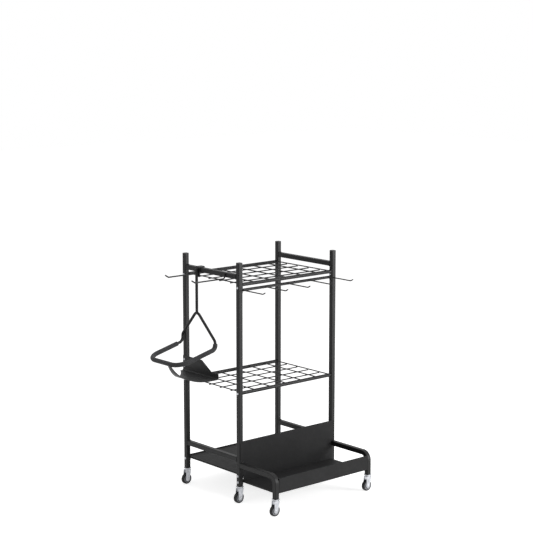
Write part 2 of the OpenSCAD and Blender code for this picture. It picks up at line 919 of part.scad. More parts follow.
// The sheet's outline seen from above, without the strip at the inner wall
module cradle_plan(wall_x, lip_x, front, back) {
    tongue_front = front + holder_bend_r;
    cut_from = [lip_x - 2 * overrun, holder_front_y + holder_bend_r + cradle_tongue_end];
    cut_to = [wall_x - cradle_cut_end, back];
    chord = cut_to - cut_from;
    cut_r = cradle_cut_share * norm(chord);
    cut_depth = sqrt(cut_r * cut_r - chord * chord / 4);
    cut_centre = (cut_from + cut_to) / 2 + cut_depth * [-chord[1], chord[0]] / norm(chord);
    difference() {
        polygon([
            [wall_x - cradle_bend_r, front],
            [wall_x - cradle_front_reach, front],
            [lip_x - overrun, tongue_front],
            [lip_x - overrun, back],
            [wall_x - cradle_bend_r, back]]);
        translate(cut_centre)
            circle(r = cut_r, $fn = 4 * round_n);
    }
}

// The inner wall's outline seen from the side: low in front, high at the rear post
module cradle_wall(front, back) {
    depth = back - front;
    difference() {
        translate([front, cradle_z])
            square([depth, cradle_wall_high]);
        polygon([
            [front - overrun, cradle_z + cradle_wall_low],
            [front + cradle_step_shares[0] * depth, cradle_z + cradle_wall_low],
            [front + cradle_step_shares[1] * depth, cradle_z + cradle_wall_high],
            [front + cradle_step_shares[1] * depth, cradle_z + cradle_wall_high + overrun],
            [front - overrun, cradle_z + cradle_wall_high + overrun]]);
        for (z = cradle_screw_z)
            translate([rear_y, z])
                circle(d = bolt_d + 2 * hole_gap, $fn = wire_n);
    }
}

module holder_cradle() {
    wall_x = left_x - half_tube;
    arc_x = wall_x - cradle_flat_share * holder_reach;
    // The arc's radius at which its inner face touches the padded bar
    run = arc_x - holder_bar_x;
    rise = holder_bar_z - cradle_z;
    reach = pad_d / 2 + cradle_t + joint_step;
    arc_r = (run * run + rise * rise - reach * reach) / (2 * (rise - reach));
    slope = asin(run / (arc_r - reach)) + cradle_lip_turn;
    lip_x = arc_x - arc_r * sin(slope);
    front = holder_front_y - pad_d / 2;
    back = rear_y + half_tube;
    color(steel)
        intersection() {
            translate([0, back, 0])
                rotate([90, 0, 0])
                    linear_extrude(height = back - front)
                        cradle_section(wall_x, arc_x, arc_r, slope);
            union() {
                translate([wall_x - overrun - cradle_bend_r, 0, 0])
                    rotate([90, 0, 90])
                        linear_extrude(height = cradle_bend_r + 2 * overrun)
                            cradle_wall(front, back);
                translate([0, 0, cradle_z])
                    linear_extrude(height = 2 * rise)
                        cradle_plan(wall_x, lip_x, front, back);
            }
        }
}

// Fork: a bridge with its ball race, and two cheeks that narrow to the axle eyes
module fork(c) {
    module cheek_outline() {
        polygon([
            [-crown_l / 2, fork_top],
            [crown_l / 2, fork_top],
            [-trail + fork_eye_r, wheel_r],
            [-trail - fork_eye_r, wheel_r]]);
        translate([-trail, wheel_r])
            circle(r = fork_eye_r, $fn = round_n);
    }
    color(zinc)
        translate([c[1], c[2], 0])
            difference() {
                union() {
                    for (side = [-1, 1])
                        translate([0, side * (fork_w - fork_t) / 2 + fork_t / 2, 0])
                            rotate([90, 0, 0])
                                linear_extrude(height = fork_t)
                                    cheek_outline();
                    translate([-crown_l / 2, -fork_w / 2, fork_top - fork_t])
                        cube([crown_l, fork_w, fork_t]);
                    translate([0, 0, fork_top])
                        cylinder(d = race_d, h = race_h, $fn = round_n);
                }
                translate([0, 0, fork_top - fork_t - overrun])
                    cylinder(d = crown_bore + 2 * pivot_gap, h = race_h + fork_t + 2 * overrun,
                        $fn = small_n);
                translate([-trail, 0, wheel_r])
                    rotate([90, 0, 0])
                        cylinder(d = axle_d, h = fork_w + 2 * overrun, center = true, $fn = small_n);
            }
}

// Riveted axle with a head outside each cheek
module axle(c) {
    color(zinc)
        translate([c[1] - trail, c[2], wheel_r])
            rotate([90, 0, 0]) {
                cylinder(d = axle_d, h = fork_w, center = true, $fn = small_n);
                for (side = [-1, 1])
                    translate([0, 0, side * (fork_w + axle_head_h) / 2])
                        cylinder(d = axle_head_d, h = axle_head_h, center = true, $fn = small_n);
            }
}

// Moulded wheel centre: boss, thin web and rim
module hub(c) {
    rim_r = wheel_r - tyre_t;
    color(wheel_grey)
        translate([c[1] - trail, c[2], wheel_r])
            rotate([90, 0, 0])
                rotate_extrude($fn = round_n)
                    polygon([
                        [axle_d / 2 + pivot_gap, -wheel_w / 2 - wheel_side_gap],
                        [hub_boss_d / 2, -wheel_w / 2 - wheel_side_gap],
                        [hub_boss_d / 2, -hub_web_t / 2],
                        [rim_r - hub_rim_t, -hub_web_t / 2],
                        [rim_r - hub_rim_t, -wheel_w / 2],
                        [rim_r, -wheel_w / 2],
                        [rim_r, wheel_w / 2],
                        [rim_r - hub_rim_t, wheel_w / 2],
                        [rim_r - hub_rim_t, hub_web_t / 2],
                        [hub_boss_d / 2, hub_web_t / 2],
                        [hub_boss_d / 2, wheel_w / 2 + wheel_side_gap],
                        [axle_d / 2 + pivot_gap, wheel_w / 2 + wheel_side_gap]]);
}

// Rubber tyre with rounded shoulders, pressed over the rim
module tyre(c) {
    rim_r = wheel_r - tyre_t;
    color(rubber_black)
        translate([c[1] - trail, c[2], wheel_r])
            rotate([90, 0, 0])
                rotate_extrude($fn = round_n)
                    polygon([
                        [rim_r, -wheel_w / 2],
                        [wheel_r - tyre_round, -wheel_w / 2],
                        [wheel_r, -wheel_w / 2 + tyre_round],
                        [wheel_r, -tread_w / 2],
                        [wheel_r - tread_t, 0],
                        [wheel_r, tread_w / 2],
                        [wheel_r, wheel_w / 2 - tyre_round],
                        [wheel_r - tyre_round, wheel_w / 2],
                        [rim_r, wheel_w / 2]]);
}

post_front_left();
post_front_right();
post_rear_left();
post_rear_right();
post_caps();
side_bar_high_left();
side_bar_high_right();
side_bar_low_left();
side_bar_low_right();
top_front_rail();
top_rear_rail();
top_hook_bar();
top_long_wires();
top_cross_wires();
front_prongs();
mid_front_rail();
mid_rear_rail();
mid_long_wires();
mid_cross_wires();
tube_inserts();
rear_tray();
front_pan();
divider_plate();
leg_loop_left();
leg_loop_right();
frame_bolts();
plate_screws();
weld_nuts();
caster_sockets();
caster_stems();
side_hook();
holder_frame();
holder_hanger();
holder_saddle();
holder_pad();
holder_cradle();
fork(CASTERS[0]);  // fork_front_left
fork(CASTERS[1]);  // fork_front_right
fork(CASTERS[2]);  // fork_mid_left
fork(CASTERS[3]);  // fork_mid_right
fork(CASTERS[4]);  // fork_rear_left
fork(CASTERS[5]);  // fork_rear_right
axle(CASTERS[0]);  // axle_front_left
axle(CASTERS[1]);  // axle_front_right
axle(CASTERS[2]);  // axle_mid_left
axle(CASTERS[3]);  // axle_mid_right
axle(CASTERS[4]);  // axle_rear_left
axle(CASTERS[5]);  // axle_rear_right
hub(CASTERS[0]);  // hub_front_left
hub(CASTERS[1]);  // hub_front_right
hub(CASTERS[2]);  // hub_mid_left
hub(CASTERS[3]);  // hub_mid_right
hub(CASTERS[4]);  // hub_rear_left
hub(CASTERS[5]);  // hub_rear_right
tyre(CASTERS[0]);  // tyre_front_left
tyre(CASTERS[1]);  // tyre_front_right
tyre(CASTERS[2]);  // tyre_mid_left
tyre(CASTERS[3]);  // tyre_mid_right
tyre(CASTERS[4]);  // tyre_rear_left
tyre(CASTERS[5]);  // tyre_rear_right
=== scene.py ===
import json
import math
import random

import bmesh
import bpy
from mathutils import Matrix, Vector


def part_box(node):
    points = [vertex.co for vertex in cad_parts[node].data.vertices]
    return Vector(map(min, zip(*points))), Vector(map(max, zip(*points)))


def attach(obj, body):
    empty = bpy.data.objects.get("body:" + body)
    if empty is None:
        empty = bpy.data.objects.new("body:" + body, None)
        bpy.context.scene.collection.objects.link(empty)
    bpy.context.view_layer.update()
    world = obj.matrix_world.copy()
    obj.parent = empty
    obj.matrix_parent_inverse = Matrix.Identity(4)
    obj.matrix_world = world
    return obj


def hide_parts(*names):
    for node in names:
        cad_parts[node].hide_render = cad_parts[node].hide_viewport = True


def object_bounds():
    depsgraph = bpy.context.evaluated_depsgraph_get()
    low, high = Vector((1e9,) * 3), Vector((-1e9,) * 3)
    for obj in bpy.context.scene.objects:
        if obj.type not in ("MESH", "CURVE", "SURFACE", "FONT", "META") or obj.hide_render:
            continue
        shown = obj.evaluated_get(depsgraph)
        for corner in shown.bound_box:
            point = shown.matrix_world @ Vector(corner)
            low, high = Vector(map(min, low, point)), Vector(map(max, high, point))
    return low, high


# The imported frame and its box
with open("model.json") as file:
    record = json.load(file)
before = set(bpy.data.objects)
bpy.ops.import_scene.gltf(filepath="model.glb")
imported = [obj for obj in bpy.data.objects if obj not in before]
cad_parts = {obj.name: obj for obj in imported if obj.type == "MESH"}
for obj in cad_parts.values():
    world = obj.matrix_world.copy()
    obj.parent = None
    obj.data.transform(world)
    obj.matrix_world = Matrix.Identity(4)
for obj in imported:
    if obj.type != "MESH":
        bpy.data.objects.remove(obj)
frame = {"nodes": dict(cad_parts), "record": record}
CAD_LOW, CAD_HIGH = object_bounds()
NODES = frame["nodes"]
MM = 0.001

# Camera: the photograph's viewing angle, in the row frame
CAMERA_PLACE = (-4.0387, -4.7157, 1.9763)
CAMERA_YAW = 0.7132
CAMERA_PITCH = 0.1622
CAMERA_LENS = 103.25
SENSOR_WIDTH = 36.0
CLIP_END = 60.0


def make_camera():
    """The camera looks along +Y turned towards +X, and a little down."""
    data = bpy.data.cameras.new("camera")
    data.lens = CAMERA_LENS
    data.sensor_width = SENSOR_WIDTH
    data.clip_end = CLIP_END
    camera = bpy.data.objects.new("camera", data)
    camera.location = CAMERA_PLACE
    camera.rotation_euler = (math.pi / 2 - CAMERA_PITCH, 0, -CAMERA_YAW)
    bpy.context.scene.collection.objects.link(camera)
    bpy.context.scene.camera = camera


make_camera()


# Materials: noise scales are cells in a metre, depths are in metres, and ranges are noise levels

FULL_RANGE = (0.3, 0.7)
FINE_DETAIL = 2.0
GRAIN_DETAIL = 3.0
CLOUD_SCALE = 9.0
SCUFF_SCALE = 55.0
SCUFF_DETAIL = 8.0
SCUFF_BREAKUP = 0.75
SCUFF_RANGE = (0.58, 0.80)
SCUFF_SHARE = 0.5
GLOSS_RANGE = (0.35, 0.75)
GLOSS_LOSS = 0.16
DUST_GAIN = 1.7
PEEL_SCALE = 850.0
PEEL_STRENGTH = 0.22
PEEL_DEPTH = 0.2 * MM
PAINT_SPECULAR = 0.2

ZINC_DARK = (0.38, 0.39, 0.41)
ZINC_LIGHT = (0.52, 0.53, 0.56)
ZINC_ROUGH = (0.24, 0.42)
ZINC_SCALE = 70.0
ZINC_GRAIN_SCALE = 1600.0
ZINC_GRAIN_STRENGTH = 0.15
ZINC_GRAIN_DEPTH = 0.1 * MM

MOULDED_SCALE = 30.0
MOULDED_ROUGH_SPREAD = 0.06
MOULDED_GRAIN_SCALE = 700.0
MOULDED_GRAIN_STRENGTH = 0.2
MOULDED_GRAIN_DEPTH = 0.2 * MM
MOULDED_SPECULAR = 0.3

# The pit colour is painted shade: it darkens the foam where the pits sink in.
FOAM_PIT_SHADE = (0.016, 0.016, 0.017)
FOAM_DARK = (0.030, 0.031, 0.033)
FOAM_LIGHT = (0.043, 0.044, 0.047)
FOAM_ROUGH = (0.94, 0.80)
FOAM_SCALE = 40.0
FOAM_CELL_SCALE = 1100.0
FOAM_CELL_DETAIL = 5.0
FOAM_CELL_BREAKUP = 0.7
FOAM_PIT_RANGE = (0.42, 0.60)
FOAM_PIT_STRENGTH = 0.45
FOAM_PIT_DEPTH = 0.4 * MM
FOAM_SHEEN = 0.08
FOAM_SHEEN_ROUGH = 0.5


def new_material(name):
    """A node material with its tree and its Principled shader."""
    material = bpy.data.materials.new(name)
    material.use_nodes = True
    return material, material.node_tree, material.node_tree.nodes["Principled BSDF"]


def add_noise(tree, scale, detail=4.0, roughness=0.5):
    """A noise texture in object coordinates, so that it moves with the piece."""
    place = tree.nodes.new("ShaderNodeTexCoord")
    noise = tree.nodes.new("ShaderNodeTexNoise")
    noise.inputs["Scale"].default_value = scale
    noise.inputs["Detail"].default_value = detail
    noise.inputs["Roughness"].default_value = roughness
    tree.links.new(place.outputs["Object"], noise.inputs["Vector"])
    return noise.outputs["Fac"]


def add_range(tree, value, low, high, source=FULL_RANGE):
    """Maps a factor from the source range to low..high."""
    node = tree.nodes.new("ShaderNodeMapRange")
    node.inputs["From Min"].default_value = source[0]
    node.inputs["From Max"].default_value = source[1]
    node.inputs["To Min"].default_value = low
    node.inputs["To Max"].default_value = high
    tree.links.new(value, node.inputs["Value"])
    return node.outputs["Result"]


def add_mix(tree, factor, first, second):
    """Mixes two colours by a factor; each is a fixed colour or another node's output."""
    node = tree.nodes.new("ShaderNodeMix")
    node.data_type = "RGBA"
    for socket, colour in (("A", first), ("B", second)):
        if isinstance(colour, tuple):
            node.inputs[socket].default_value = (*colour, 1)
        else:
            tree.links.new(colour, node.inputs[socket])
    tree.links.new(factor, node.inputs["Factor"])
    return node.outputs["Result"]


def add_bump(tree, shader, height, strength, distance):
    """Bump from a height factor."""
    node = tree.nodes.new("ShaderNodeBump")
    node.inputs["Strength"].default_value = strength
    node.inputs["Distance"].default_value = distance
    tree.links.new(height, node.inputs["Height"])
    tree.links.new(node.outputs["Normal"], shader.inputs["Normal"])


def powder_coat(name, dark, light, rough):
    """Dark powder coat: fine orange peel, soft cloudy tone and faint scuffs of lower gloss."""
    material, tree, shader = new_material(name)
    cloud = add_noise(tree, CLOUD_SCALE)
    scuff = add_noise(tree, SCUFF_SCALE, SCUFF_DETAIL, SCUFF_BREAKUP)
    peel = add_noise(tree, PEEL_SCALE, FINE_DETAIL)
    cloudy = add_mix(tree, add_range(tree, cloud, 0, 1), dark, light)
    dusty = tuple(c * DUST_GAIN for c in light)
    scuffed = add_mix(tree, add_range(tree, scuff, 0, SCUFF_SHARE, SCUFF_RANGE), cloudy, dusty)
    gloss = add_range(tree, scuff, rough, rough + GLOSS_LOSS, GLOSS_RANGE)
    tree.links.new(scuffed, shader.inputs["Base Color"])
    tree.links.new(gloss, shader.inputs["Roughness"])
    shader.inputs["Specular IOR Level"].default_value = PAINT_SPECULAR
    add_bump(tree, shader, peel, PEEL_STRENGTH, PEEL_DEPTH)
    return material


def zinc_plate():
    """Bright zinc plate with soft grain and a few dull blotches."""
    material, tree, shader = new_material("zinc_plate")
    blotch = add_noise(tree, ZINC_SCALE)
    grain = add_noise(tree, ZINC_GRAIN_SCALE, FINE_DETAIL)
    tone = add_mix(tree, add_range(tree, blotch, 0, 1), ZINC_DARK, ZINC_LIGHT)
    tree.links.new(tone, shader.inputs["Base Color"])
    tree.links.new(add_range(tree, blotch, *ZINC_ROUGH), shader.inputs["Roughness"])
    shader.inputs["Metallic"].default_value = 1.0
    add_bump(tree, shader, grain, ZINC_GRAIN_STRENGTH, ZINC_GRAIN_DEPTH)
    return material


def moulded(name, dark, light, rough):
    """Moulded plastic or rubber with a fine grain."""
    material, tree, shader = new_material(name)
    broad = add_noise(tree, MOULDED_SCALE)
    grain = add_noise(tree, MOULDED_GRAIN_SCALE, GRAIN_DETAIL)
    tone = add_mix(tree, add_range(tree, broad, 0, 1), dark, light)
    gloss = add_range(tree, broad, rough - MOULDED_ROUGH_SPREAD, rough + MOULDED_ROUGH_SPREAD)
    tree.links.new(tone, shader.inputs["Base Color"])
    tree.links.new(gloss, shader.inputs["Roughness"])
    shader.inputs["Specular IOR Level"].default_value = MOULDED_SPECULAR
    add_bump(tree, shader, grain, MOULDED_GRAIN_STRENGTH, MOULDED_GRAIN_DEPTH)
    return material


def foam_skin():
    """Closed-cell foam sleeve: matte, finely pitted, with painted shade darkening the pits."""
    material, tree, shader = new_material("foam_skin")
    broad = add_noise(tree, FOAM_SCALE)
    cells = add_noise(tree, FOAM_CELL_SCALE, FOAM_CELL_DETAIL, FOAM_CELL_BREAKUP)
    pits = add_range(tree, cells, 0, 1, FOAM_PIT_RANGE)
    cloudy = add_mix(tree, add_range(tree, broad, 0, 1), FOAM_DARK, FOAM_LIGHT)
    # Painted shade: the pits are darkened towards the pit colour.
    tree.links.new(add_mix(tree, pits, FOAM_PIT_SHADE, cloudy), shader.inputs["Base Color"])
    tree.links.new(add_range(tree, cells, *FOAM_ROUGH), shader.inputs["Roughness"])
    shader.inputs["Sheen Weight"].default_value = FOAM_SHEEN
    shader.inputs["Sheen Roughness"].default_value = FOAM_SHEEN_ROUGH
    add_bump(tree, shader, pits, FOAM_PIT_STRENGTH, FOAM_PIT_DEPTH)
    return material


MATERIALS = {
    "paint": powder_coat("powder_coat", (0.0090, 0.0090, 0.0094), (0.0135, 0.0135, 0.0140), 0.38),
    # The sheet coat is a rougher, slightly darker copy of the powder coat for the pan, tray and
    # divider; its darker colour is painted shade.
    "sheet": powder_coat("shaded_sheet_coat", (0.0085, 0.0085, 0.0089), (0.0125, 0.0125, 0.0130), 0.60),
    # The cradle coat is a lighter copy of the same powder coat: painted light on the holder cradle.
    "cradle": powder_coat("lit_cradle_coat", (0.0210, 0.0212, 0.0220), (0.0280, 0.0282, 0.0290), 0.45),
    "zinc": zinc_plate(),
    "cap": moulded("cap_plastic", (0.010, 0.010, 0.010), (0.015, 0.015, 0.0155), 0.5),
    "foam": foam_skin(),
    "wheel_centre": moulded("wheel_plastic", (0.30, 0.305, 0.325), (0.37, 0.375, 0.395), 0.45),
    "tyre": moulded("tyre_rubber", (0.0080, 0.0080, 0.0095), (0.0125, 0.0125, 0.0140), 0.60),
}
SLOTS = {s["node"]: s["material_slot"] for s in frame["record"]["subparts"]}
SLOTS.update({"front_pan": "sheet", "rear_tray": "sheet", "divider_plate": "sheet",
              "holder_cradle": "cradle"})


def dress(obj, slot):
    """Gives a piece its material."""
    obj.data.materials.clear()
    obj.data.materials.append(MATERIALS[slot])


for name, obj in NODES.items():
    dress(obj, SLOTS[name])


# Geometry helpers

SAME_POINT = 0.002 * MM
CLEARLY_OFF_AXIS = 0.9
SHARP_ANGLE = math.radians(35)


def low_of(points):
    return Vector([min(p[i] for p in points) for i in range(3)])


def high_of(points):
    return Vector([max(p[i] for p in points) for i in range(3)])


def solids(node):
    """The separate solids of a CAD node, each as its list of corner points in the row frame."""
    mesh = bmesh.new()
    mesh.from_mesh(NODES[node].data)
    bmesh.ops.remove_doubles(mesh, verts=mesh.verts, dist=SAME_POINT)
    left = set(mesh.verts)
    found = []
    for start in mesh.verts:
        if start not in left:
            continue
        left.remove(start)
        reached, queue = [], [start]
        while queue:
            vert = queue.pop()
            reached.append(vert.co.copy())
            for edge in vert.link_edges:
                other = edge.other_vert(vert)
                if other in left:
                    left.remove(other)
                    queue.append(other)
        found.append(reached)
    mesh.free()
    return found


def axis_frame(place, direction, up=(0, 0, 1)):
    """A matrix that puts local X along the direction, local Z as near up as it goes, at the place."""
    x = Vector(direction).normalized()
    helper = Vector(up)
    if abs(x.dot(helper)) > CLEARLY_OFF_AXIS:
        helper = Vector((0, 1, 0))
    y = helper.cross(x).normalized()
    return Matrix.Translation(place) @ Matrix((x, y, x.cross(y))).transposed().to_4x4()


def lathe(mesh, rings, turn, count=24):
    """Adds a surface of revolution about the local X axis. A ring is (radius, x) or (radius, x, shape),
    where shape gives the radius factor at an angle. A radius of zero closes the end."""
    rows = []
    for ring in rings:
        radius, x = ring[:2]
        shape = ring[2] if len(ring) > 2 else None
        angles = [2 * math.pi * k / count for k in range(count if radius else 1)]
        row = []
        for angle in angles:
            r = radius * (shape(angle) if shape else 1)
            row.append(mesh.verts.new(turn @ Vector((x, r * math.cos(angle), r * math.sin(angle)))))
        rows.append(row)
    for first, second in zip(rows, rows[1:]):
        for k in range(count):
            corners = [first[k % len(first)], first[(k + 1) % len(first)],
                       second[(k + 1) % len(second)], second[k % len(second)]]
            unique = list(dict.fromkeys(corners))
            if len(unique) > 2:
                mesh.faces.new(unique)


def hexagon(angle):
    """Radius factor of a hexagon whose half width across the flats is one."""
    sixth = math.pi / 3
    return 1 / math.cos((angle % sixth) - sixth / 2)


def dome(radius_in, radius_out, x_in, x_out, steps=5):
    """Rings along a quarter ellipse, from the outer radius at x_out to the inner radius at x_in."""
    turns = [math.pi / 2 * k / steps for k in range(steps + 1)]
    return [(radius_in + (radius_out - radius_in) * math.cos(a),
             x_out + (x_in - x_out) * math.sin(a)) for a in turns]


def add_piece(name, mesh, body, slot, replaced=()):
    """Turns mesh data into a piece: smooth but for sharp edges, dressed, named and riding."""
    bmesh.ops.recalc_face_normals(mesh, faces=mesh.faces)
    data = bpy.data.meshes.new(name)
    mesh.to_mesh(data)
    mesh.free()
    piece = bpy.data.objects.new(name, data)
    bpy.context.scene.collection.objects.link(piece)
    data.shade_smooth()
    data.set_sharp_from_angle(angle=SHARP_ANGLE)
    dress(piece, slot)
    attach(piece, body)
    if replaced:
        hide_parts(*replaced)
    return piece


# Fasteners

HEAD_H = 3.0 * MM
HEAD_EDGE = 0.9 * MM
HEAD_FLAT_SHARE = 0.62
SOCKET_HALF = 1.5 * MM
SOCKET_DEPTH = 1.7 * MM
SOCKET_CHAMFER = 0.3 * MM
THREAD_PITCH = 0.9 * MM
THREAD_DEPTH = 0.35 * MM
THREAD_LENGTH = 14 * MM
END_TAPER = 0.8 * MM
END_BAND = 0.3 * MM


def spread_at(points, axis, level):
    """How far the points of one end of a solid lie from its axis."""
    centre = (low_of(points) + high_of(points)) / 2
    near = [p - centre for p in points if abs(p[axis] - level) < END_BAND]
    return max(math.hypot(*[p[i] for i in range(3) if i != axis]) for p in near)


def add_bolt(mesh, points):
    """A button-head bolt with a hexagon socket and a threaded end, where the plain bolt is."""
    low, high = low_of(points), high_of(points)
    size = high - low
    axis = max(range(3), key=lambda i: size[i])
    spreads = [spread_at(points, axis, low[axis]), spread_at(points, axis, high[axis])]
    sign = -1 if spreads[0] > spreads[1] else 1
    place = (low + high) / 2
    place[axis] = high[axis] if sign > 0 else low[axis]
    direction = Vector([sign if i == axis else 0 for i in range(3)])
    shank = min(spreads)
    head = sorted(size)[1] / 2
    length = size[axis]
    rings = [(0, -SOCKET_DEPTH), (SOCKET_HALF, -SOCKET_DEPTH, hexagon),
             (SOCKET_HALF, -SOCKET_CHAMFER, hexagon), (SOCKET_HALF + SOCKET_CHAMFER, 0)]
    rings += reversed(dome(head * HEAD_FLAT_SHARE, head, 0, -HEAD_H + HEAD_EDGE))
    rings += [(head, -HEAD_H), (shank, -HEAD_H)]
    thread = min(THREAD_LENGTH, length - HEAD_H - 2 * END_TAPER)
    for k in range(int(thread / THREAD_PITCH)):
        x = -length + END_TAPER + thread - k * THREAD_PITCH
        rings += [(shank, x), (shank - THREAD_DEPTH, x - THREAD_PITCH / 2)]
    rings += [(shank, -length + END_TAPER), (shank - END_TAPER, -length), (0, -length)]
    lathe(mesh, rings, axis_frame(place, direction))


def add_nut(mesh, points, bore):
    """A hexagon nut with chamfered corners, where the plain nut is."""
    low, high = low_of(points), high_of(points)
    size = high - low
    axis = min(range(3), key=lambda i: size[i])
    half = size[axis] / 2
    across = sorted(size)[1] / 2
    direction = Vector([1 if i == axis else 0 for i in range(3)])
    rings = [(bore, -half), (across, -half), (across, -half + END_TAPER, hexagon),
             (across, half - END_TAPER, hexagon), (across, half), (bore + SOCKET_CHAMFER, half),
             (bore, half - SOCKET_CHAMFER), (bore, -half)]
    lathe(mesh, rings, axis_frame((low + high) / 2, direction))


NUT_BORE = 2.6 * MM


def make_fasteners():
    """Bolts, screws and nuts, each group in place of its node."""
    for node in ("frame_bolts", "plate_screws"):
        mesh = bmesh.new()
        for points in solids(node):
            add_bolt(mesh, points)
        add_piece("detailed_" + node, mesh, "rack", "zinc", [node])
    mesh = bmesh.new()
    for points in solids("weld_nuts"):
        add_nut(mesh, points, NUT_BORE)
    add_piece("detailed_weld_nuts", mesh, "rack", "zinc", ["weld_nuts"])


make_fasteners()


# Casters

PLACES = ("front_left", "front_right", "mid_left", "mid_right", "rear_left", "rear_right")
TYRE_T = 6 * MM
SHOULDER = 2.6 * MM
SIDE_GROOVE = 0.5 * MM
TREAD_DIP = 0.5 * MM
TREAD_DIP_HALF = 0.9 * MM
TREAD_PLACES = (-4.2 * MM, 0.0, 4.2 * MM)
BOSS_R = 7 * MM
WEB_HALF = 2.5 * MM
RIM_T = 2.5 * MM
RIM_LIP = 0.5 * MM
RIB_COUNT = 6
RIB_HALF = 0.9 * MM
RIB_FOOT_HALF = 1.35 * MM
RIB_END_RISE = 1.7 * MM
AXLE_BORE = 3.05 * MM
TYRE_STEPS = 64
HUB_STEPS = 48


def tyre_rings(radius, half):
    """Tyre section: round shoulders, a groove in each side wall and three shallow tread grooves."""
    rim = radius - TYRE_T
    side = half - SIDE_GROOVE
    wall = (rim + radius - SHOULDER) / 2
    left = [(rim, -half), (wall - 2 * SIDE_GROOVE, -half), (wall - SIDE_GROOVE, -side),
            (wall + SIDE_GROOVE, -side), (wall + 2 * SIDE_GROOVE, -half)]
    rings = left + list(reversed(dome(radius - SHOULDER, radius, -half, -half + SHOULDER)))
    for x in TREAD_PLACES:
        rings += [(radius, x - TREAD_DIP_HALF), (radius - TREAD_DIP, x - TREAD_DIP_HALF / 2),
                  (radius - TREAD_DIP, x + TREAD_DIP_HALF / 2), (radius, x + TREAD_DIP_HALF)]
    rings += dome(radius - SHOULDER, radius, half, half - SHOULDER)
    rings += [(r, -x) for r, x in reversed(left)]
    rings.append((rim, -half))
    return rings


def hub_rings(rim, half, boss_half):
    """Wheel centre section: boss, web and rim with a raised lip."""
    inner = rim - RIM_T
    face = [(AXLE_BORE, boss_half), (BOSS_R - RIM_LIP, boss_half), (BOSS_R, boss_half - RIM_LIP),
            (BOSS_R + RIM_LIP, WEB_HALF), (inner - RIM_LIP, WEB_HALF), (inner, WEB_HALF + RIM_LIP),
            (inner, half - RIM_LIP), (inner + RIM_LIP, half), (rim, half)]
    return face + [(r, -x) for r, x in reversed(face)] + [face[0]]


def add_ribs(mesh, turn, inner, outer, boss_half):
    """Ribs on both faces of the web, from the boss to the rim, sloping down outwards."""
    for side in (-1, 1):
        for k in range(RIB_COUNT):
            spin = turn @ Matrix.Rotation(2 * math.pi * k / RIB_COUNT, 4, "X")
            corners = []
            for r, top in ((inner, boss_half - RIB_HALF), (outer, WEB_HALF + RIB_END_RISE)):
                for x, wide in ((WEB_HALF - RIM_LIP, RIB_FOOT_HALF), (top, RIB_HALF)):
                    for y in (-wide, wide):
                        corners.append(mesh.verts.new(spin @ Vector((side * x, y, r))))
            for face in ((0, 1, 3, 2), (4, 6, 7, 5), (2, 3, 7, 6), (0, 2, 6, 4), (1, 5, 7, 3),
                         (0, 4, 5, 1)):
                mesh.faces.new([corners[i] for i in face])


EYE_HEAD_R = 4.5 * MM
EYE_HEAD_H = 1.5 * MM
RIVET_DISH = 0.5 * MM
PRESSED_RIB_HALF = 2.2 * MM
PRESSED_RIB_RISE = 0.7 * MM
PRESSED_RIB_LOW = 8 * MM
PRESSED_RIB_HIGH = 4.5 * MM
PRESSED_RIB_LEAN_SHARE = 0.5
PRESSED_RIB_SHARES = ((1.0, 0.0), (0.82, 0.55), (0.55, 0.92), (0.25, 1.0))
PRESSED_RIB_STEPS = 8
DISH_SHARES = (0.5, 0.8)


def add_pressed_rib(mesh, start, end, out, half, rise):
    """A long raised oval pressed into sheet, from start to end, standing out of it."""
    along = (end - start).normalized()
    across = along.cross(out).normalized()
    outline = []
    for centre, base in ((end, -math.pi / 2), (start, math.pi / 2)):
        for k in range(PRESSED_RIB_STEPS + 1):
            a = base + math.pi * k / PRESSED_RIB_STEPS
            outline.append((centre, along * math.cos(a) + across * math.sin(a)))
    rows = []
    for share, height in PRESSED_RIB_SHARES:
        rows.append([mesh.verts.new(c + d * half * share + out * rise * height)
                     for c, d in outline])
    count = len(outline)
    for first, second in zip(rows, rows[1:]):
        for k in range(count):
            mesh.faces.new([first[k], first[(k + 1) % count],
                            second[(k + 1) % count], second[k]])
    mesh.faces.new(rows[-1])


